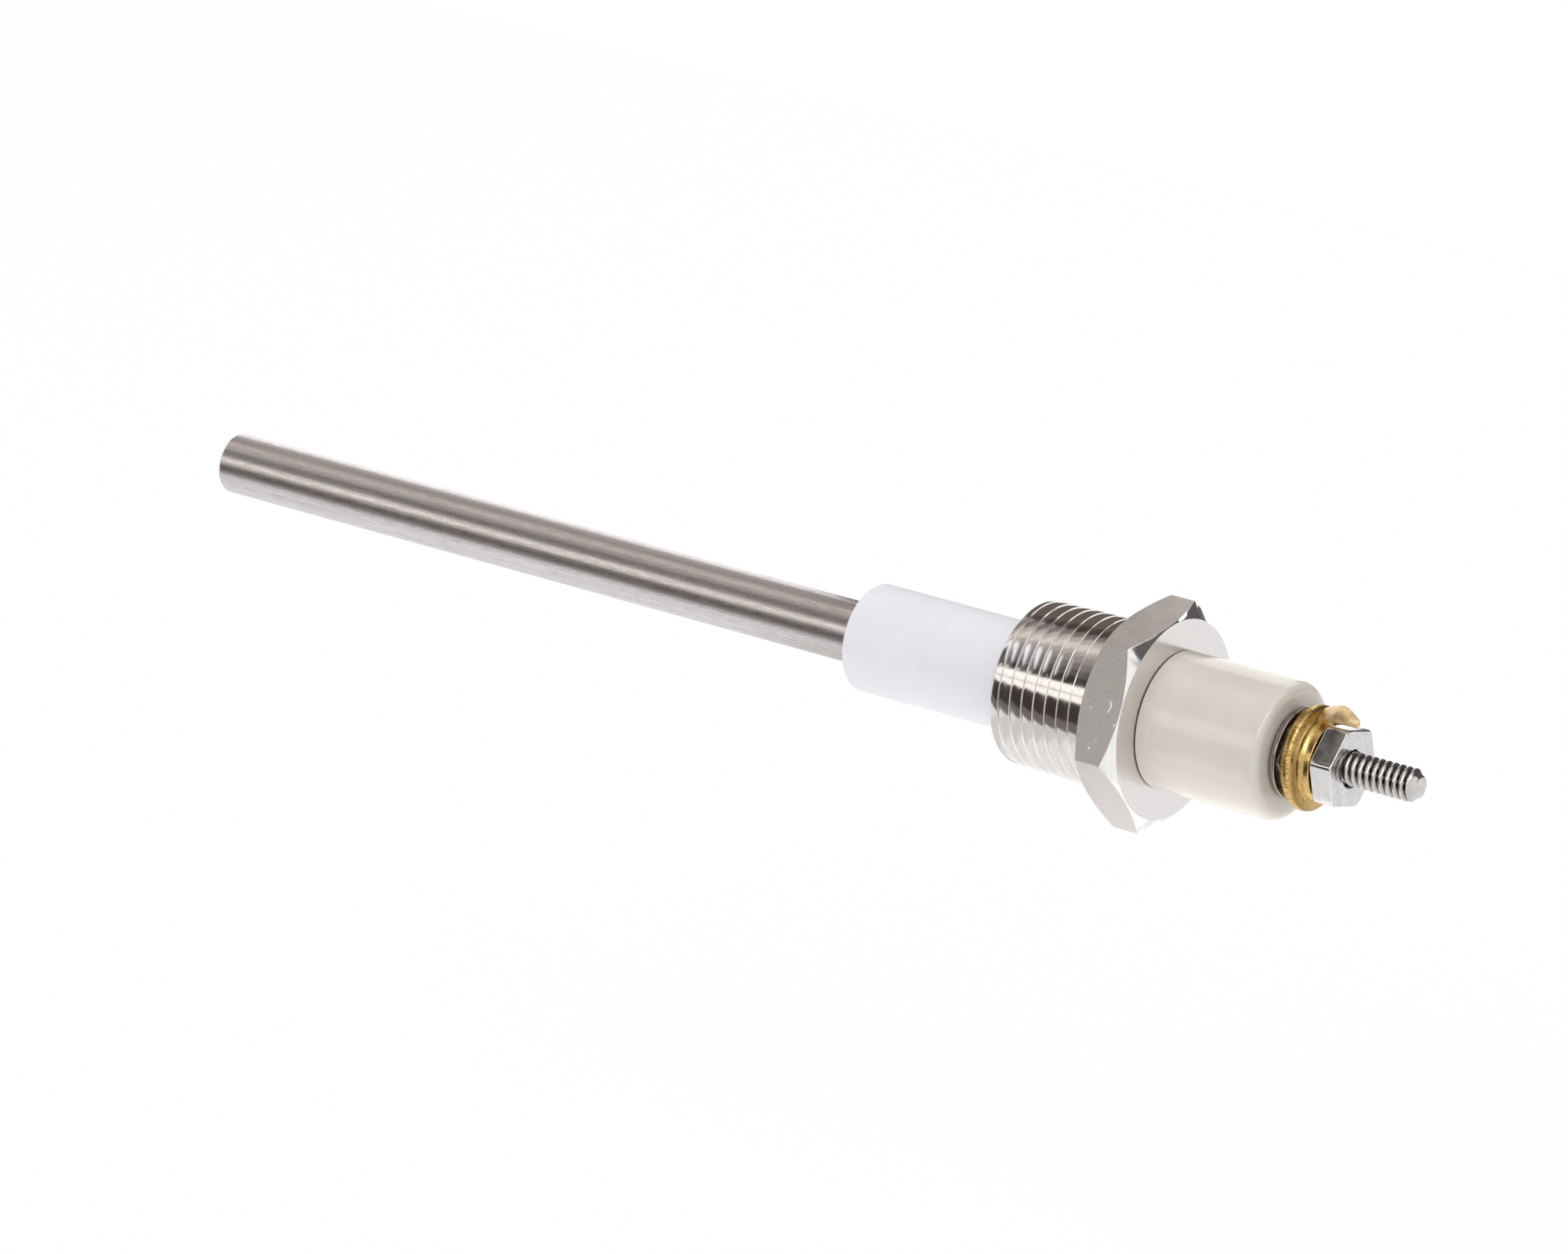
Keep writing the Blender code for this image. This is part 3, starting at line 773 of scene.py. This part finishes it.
def makeCup(look, finish):
    x0, r0, t = look["rimX"], look["rimRadius"], look["rimThick"]
    under, top = look["underX"], look["topX"]
    loop = [(under, look["bore"])] + [(under + dx, r) for dx, r in look["underRows"]]
    loop += [(x0 + dx, r) for dx, r in look["innerRows"]]
    loop += [(x0 - t * cos(radians(a)), r0 + t * sin(radians(a))) for a in range(-50, 171, 10)]
    loop += [(x0 + dx, r) for dx, r in look["foldRows"]]
    loop += [(top + dx, r) for dx, r in look["topRows"]] + [(top, look["bore"])]
    clocks = evenClock(1200)
    rings = []
    for x, r in loop:
        outer = min(1.0, max(0.0, (r - 4.45) / 0.4))
        crimp = outer * min(1.0, max(0.0, (x0 + 0.5 - x) / 0.45))  # the wrinkles fade toward the fold
        row = []
        for c in clocks:
            a = radians(c)
            wave = sin(look["wrinkles"] * a + 1.8 * sin(7 * a) + 0.9 * sin(17 * a + 1.0))
            wave *= 0.55 + 0.9 * noise.noise(Vector((3 * cos(a), 3 * sin(a), x * 0.8)))
            dent = noise.noise(Vector(clockPoint(x * 0.9, r * 0.75, c)))
            lift = crimp * look["wrinkleDeep"] * wave + outer * look["dents"] * dent
            row.append((x + rimLean(look, r, c), r + lift))
        rings.append(row)
    shape = ringStack(rings, clocks)
    return makePiece("cupWasher", shape, [finish], "cup", ["cup_washer"], sharp=50.0)


def makeEar(look, finish):
    across, along = look["across"], look["along"]
    rows = along + 1
    verts, faces = [], []
    for layer in (0.0, look["thick"]):
        for j in range(across + 1):
            side = j / across  # 0 at the straight edge, 1 at the rounded one
            low = look["nearX"] + (look["farX"] - look["nearX"]) * side
            end = look["rootX"] + look["reach"] * (1 - (0.97 * side) ** 2.5)
            for i in range(rows):
                x = low + (end - low) * i / along
                climb = min(1.0, (x - look["nearX"]) / look["nearLong"])
                arch = max(0.0, min(1.0, (x - look["farX"]) / look["farLong"]))
                near = look["nearRadius"] + look["nearRise"] * sin(0.5 * pi * climb)
                far = look["farRadius"] + look["farRise"] * sin(pi * arch)
                r = near + (far - near) * side - layer
                verts.append(clockPoint(x, r, look["clock"] - look["spread"] * side))
    sheet = (across + 1) * rows

    def v(layer, j, i):
        return layer * sheet + j * rows + i

    for j in range(across):
        for i in range(along):
            faces += [(v(n, j, i), v(n, j + 1, i), v(n, j + 1, i + 1), v(n, j, i + 1)) for n in (0, 1)]
        faces += [(v(0, j, i), v(0, j + 1, i), v(1, j + 1, i), v(1, j, i)) for i in (0, along)]
    for i in range(along):
        faces += [(v(0, j, i), v(0, j, i + 1), v(1, j, i + 1), v(1, j, i)) for j in (0, across)]
    shape = (verts, faces, [0] * len(faces))
    piece = makePiece("cupEar", shape, [finish], "cup", ["cup_washer"], sharp=60.0)
    bevel = piece.modifiers.new("softEdge", "BEVEL")
    bevel.width = look["softEdge"] * mm
    bevel.segments = 3
    bevel.limit_method = "ANGLE"
    bevel.angle_limit = radians(50)
    return piece


terminalSteel = turnedSteel("terminalSteel", smallSteel)
makeWasher(washerLook, turnedSteel("washerSteelPaintedShade", washerSteelPaintedShade))
makeNut("clampNut", clampLook, turnedSteel("clampSteel", clampSteel), "probe", "clamp_nut")
makeStud(studLook, paintRootShade(turnedSteel("studSteel", studSteel), studSteel))
makeCup(brassLook, spunBrass("spunBrass", brassLook))
makeEar(earLook, spunBrass("litEarBrass", earBrassPaintedLight))
makeNut("terminalNut", nutLook, terminalSteel, "nut", "terminal_nut")
print("terminal done")


# seals inside the body keep their solids and get a finish

sealLooks = {
    "shoulder_washer": {
        "perMm": (1.5, 1.5, 1.5), "dark": (0.74, 0.74, 0.72), "light": (0.84, 0.84, 0.82),
        "rough": (0.5, 0.65), "depth": 0.01,
    },
    "lower_seal_ring": {
        "perMm": (2.5, 2.5, 2.5), "dark": (0.7, 0.7, 0.67), "light": (0.83, 0.83, 0.8),
        "rough": (0.55, 0.7), "depth": 0.02,
    },
    "upper_gasket": {
        "perMm": (4.0, 2.0, 2.0), "dark": (0.16, 0.105, 0.07), "light": (0.3, 0.21, 0.14),
        "rough": (0.7, 0.9), "depth": 0.03,
    },
}
for node, look in sealLooks.items():
    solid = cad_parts[node]
    for place in solid.material_slots:
        place.material = softPacking(node + "Packing", look)
print("seals done")


# studio: white sweep, dark and bright cards that only polished surfaces see, soft lamps

studioLook = {
    "floorZ": -70.0, "floorFront": 165.0, "floorBack": 230.0, "floorHalf": 900.0,
    "floorMatte": 0.96, "floorWhite": 1.0, "floorShare": 0.86,
    "ambient": 0.70, "cardRadius": 1400.0,
    # name, low and high clock, low and high x, colour
    "cards": (
        ("backFlag", -107, -47, -2600, 1200, (0.165, 0.135, 0.125)),
        ("backEdge", -47, -32, -2600, 500, (0.085, 0.067, 0.06)),
        ("scrimRise", -32, -22, -2600, 400, (0.26, 0.225, 0.205)),
        ("scrimHigh", -22, -12, -2600, 400, (0.62, 0.56, 0.52)),
        ("scrim", -12, -2, -2600, 400, (0.90, 0.83, 0.78)),
        ("scrimLow", -2, 7, -2600, 400, (0.60, 0.53, 0.49)),
        ("shadeHigh", 7, 17, -2600, 400, (0.40, 0.36, 0.335)),
        ("shadeMiddle", 17, 27, -2600, 400, (0.25, 0.22, 0.20)),
        ("shadeLow", 27, 37, -2600, 400, (0.14, 0.12, 0.11)),
        ("stripShade", 37, 49, -2600, 400, (0.05, 0.042, 0.037)),
        ("upperStrip", 49, 60, -2600, 400, (1.42, 1.37, 1.30)),
        ("stripGap", 60, 62, -2600, 400, (0.5, 0.46, 0.42)),
        ("lowerStrip", 62, 71, -2600, 400, (1.42, 1.36, 1.28)),
        ("lowFlag", 71, 99, -2600, 400, (0.06, 0.048, 0.042)),
        ("floorEdge", 99, 118, -2600, 400, (0.20, 0.18, 0.17)),
    ),
    "window": {"x": -1780, "clock": 25, "halfX": 650, "halfClock": 23, "colour": (1.16, 1.19, 1.25)},
    # name, low and high x, y and z, colour
    "bounces": (
        ("terminalBounce", (-17.5, 8), (30, 30), (-21, 26), (1.38, 1.36, 1.34)),
        ("rodBounce", (-330, -66), (45, 45), (-34, 26), (1.40, 1.38, 1.37)),
        ("rodRise", (-330, -74), (45, 45), (26, 78), (0.45, 0.42, 0.405)),
        ("earBounce", (8, 22), (30, 30), (14.5, 36), (1.38, 1.36, 1.34)),
        ("endFlag", (60, 980), (330, 330), (-30, 330), (0.12, 0.11, 0.11)),
        ("endFlagEdge", (980, 1250), (330, 330), (-30, 330), (0.45, 0.45, 0.47)),
        ("threadShade", (-62, -34), (-70, 30), (-30, -30), (0.82, 0.80, 0.79)),
        ("endStrip", (420, 580), (-470, 110), (370, 480), (5.5, 5.4, 5.3)),
        ("nutShade", (-7, 2.5), (-24, 0), (42, 42), (0.10, 0.09, 0.085)),
        ("rodShade", (-215, -74), (-60, -18), (60, 60), (0.135, 0.12, 0.115)),
        ("flatBounce", (-15.5, 6), (-26, 12), (-28, -28), (1.36, 1.33, 1.32)),
        ("cupBounce", (8, 26), (-36, 4), (-24, -24), (1.38, 1.36, 1.34)),
    ),
    # name, place, aim, width and depth, watts
    "lamps": (
        ("keyLamp", (-250, -520, 900), (0, 0, 0), (900, 900), 3.5),
        ("backLamp", (300, 650, 700), (0, 0, 0), (900, 900), 2.2),
        ("lowLamp", (18, -15, -66), (18, -15, 0), (130, 110), 0.03),
    ),
}


# a card is a glowing sheet that only polished surfaces see
def lightCard(name, verts, faces, colour):
    mat = bpy.data.materials.new(name)
    mat.use_nodes = True
    nodes = mat.node_tree.nodes
    nodes.clear()
    glow = nodes.new("ShaderNodeEmission")
    glow.inputs["Color"].default_value = (*colour, 1.0)
    out = nodes.new("ShaderNodeOutputMaterial")
    mat.node_tree.links.new(glow.outputs["Emission"], out.inputs["Surface"])
    mesh = bpy.data.meshes.new(name)
    mesh.from_pydata([tuple(mm * c for c in v) for v in verts], [], faces)
    mesh.materials.append(mat)
    card = bpy.data.objects.new(name, mesh)
    bpy.context.scene.collection.objects.link(card)
    card.visible_camera = card.visible_diffuse = card.visible_shadow = card.visible_transmission = False


def makeCards(look):
    for name, low, high, lowX, highX, colour in look["cards"]:
        steps = max(2, round((high - low) / 4))
        clocks = [low + (high - low) * n / steps for n in range(steps + 1)]
        verts = [clockPoint(x, look["cardRadius"], clock) for clock in clocks for x in (lowX, highX)]
        lightCard(name, verts, [(2 * n, 2 * n + 1, 2 * n + 3, 2 * n + 2) for n in range(steps)], colour)
    for name, (x0, x1), (y0, y1), (z0, z1), colour in look["bounces"]:
        lightCard(name, [(x0, y0, z0), (x1, y0, z0), (x1, y1, z1), (x0, y1, z1)], [(0, 1, 2, 3)], colour)
    glass = look["window"]
    rim = []
    for a in range(0, 360, 10):
        side = copysign(abs(sin(radians(a))) ** 0.5, sin(radians(a)))  # fuller than an ellipse
        x = glass["x"] + glass["halfX"] * cos(radians(a))
        rim.append(clockPoint(x, look["cardRadius"] - 20, glass["clock"] + glass["halfClock"] * side))
    lightCard("sideWindow", rim, [tuple(range(len(rim)))], glass["colour"])


def seenRays(tree):
    path = tree.nodes.new("ShaderNodeLightPath")
    total = path.outputs["Is Camera Ray"]
    for ray in ("Is Glossy Ray", "Is Transmission Ray"):
        most = tree.nodes.new("ShaderNodeMath")
        most.operation = "MAXIMUM"
        tree.links.new(total, most.inputs[0])
        tree.links.new(path.outputs[ray], most.inputs[1])
        total = most.outputs["Value"]
    return total


def makeFloor(look):
    mat = bpy.data.materials.new("paleSweep")
    mat.use_nodes = True
    tree = mat.node_tree
    tree.nodes.clear()
    matte = tree.nodes.new("ShaderNodeBsdfDiffuse")
    matte.inputs["Color"].default_value = (*[look["floorMatte"]] * 3, 1.0)
    white = tree.nodes.new("ShaderNodeEmission")
    white.inputs["Strength"].default_value = look["floorWhite"]
    share = tree.nodes.new("ShaderNodeMath")
    share.operation = "MULTIPLY"
    share.inputs[1].default_value = look["floorShare"]
    mix = tree.nodes.new("ShaderNodeMixShader")
    out = tree.nodes.new("ShaderNodeOutputMaterial")
    tree.links.new(seenRays(tree), share.inputs[0])
    tree.links.new(share.outputs["Value"], mix.inputs["Fac"])
    tree.links.new(matte.outputs["BSDF"], mix.inputs[1])
    tree.links.new(white.outputs["Emission"], mix.inputs[2])
    tree.links.new(mix.outputs["Shader"], out.inputs["Surface"])
    half, front, back, z = look["floorHalf"], -look["floorFront"], look["floorBack"], look["floorZ"]
    corners = [(-half, front, z), (half, front, z), (half, back, z), (-half, back, z)]
    mesh = bpy.data.meshes.new("floor")
    mesh.from_pydata([tuple(mm * c for c in v) for v in corners], [], [(0, 1, 2, 3)])
    mesh.materials.append(mat)
    floor = bpy.data.objects.new("floor", mesh)
    bpy.context.scene.collection.objects.link(floor)


def makeWorld(look):
    world = bpy.data.worlds.new("studioWorld")
    bpy.context.scene.world = world
    world.use_nodes = True
    tree = world.node_tree
    tree.nodes.clear()
    ambient = tree.nodes.new("ShaderNodeBackground")
    ambient.inputs["Strength"].default_value = look["ambient"]
    white = tree.nodes.new("ShaderNodeBackground")
    for shade in (ambient, white):
        shade.inputs["Color"].default_value = (1.0, 1.0, 1.0, 1.0)
    mix = tree.nodes.new("ShaderNodeMixShader")
    out = tree.nodes.new("ShaderNodeOutputWorld")
    tree.links.new(seenRays(tree), mix.inputs["Fac"])
    tree.links.new(ambient.outputs["Background"], mix.inputs[1])
    tree.links.new(white.outputs["Background"], mix.inputs[2])
    tree.links.new(mix.outputs["Shader"], out.inputs["Surface"])


def makeLamps(look):
    for name, place, aim, (wide, deep), watts in look["lamps"]:
        data = bpy.data.lights.new(name, "AREA")
        data.energy = watts
        data.shape = "RECTANGLE"
        data.size, data.size_y = wide * mm, deep * mm
        lamp = bpy.data.objects.new(name, data)
        lamp.location = [mm * c for c in place]
        lamp.rotation_euler = (Vector(aim) - Vector(place)).to_track_quat("-Z", "Y").to_euler()
        lamp.visible_glossy = lamp.visible_camera = False
        bpy.context.scene.collection.objects.link(lamp)


makeFloor(studioLook)
makeWorld(studioLook)
makeLamps(studioLook)
makeCards(studioLook)
bpy.context.scene.view_settings.view_transform = "Standard"
print("studio done")


# camera at the photograph's angle, taking the image as 2000 by 1600

cameraLook = {
    "place": (0.517476, -0.730711, 0.469111),
    "right": (0.80981, 0.58362, -0.06002), "up": (-0.22313, 0.40098, 0.88849),
    "back": (0.54260, -0.70612, 0.45495),
    "lens": 234.0, "sensor": 36.0,
}


def makeCamera(look):
    data = bpy.data.cameras.new("studioCamera")
    data.sensor_fit = "HORIZONTAL"
    data.sensor_width = look["sensor"]
    data.lens = look["lens"]
    data.clip_start, data.clip_end = 0.01, 20.0
    camera = bpy.data.objects.new("studioCamera", data)
    axes = Matrix((look["right"], look["up"], look["back"])).transposed()
    camera.matrix_world = Matrix.Translation(look["place"]) @ axes.to_4x4()
    bpy.context.scene.collection.objects.link(camera)
    bpy.context.scene.camera = camera


makeCamera(cameraLook)
print("camera done")
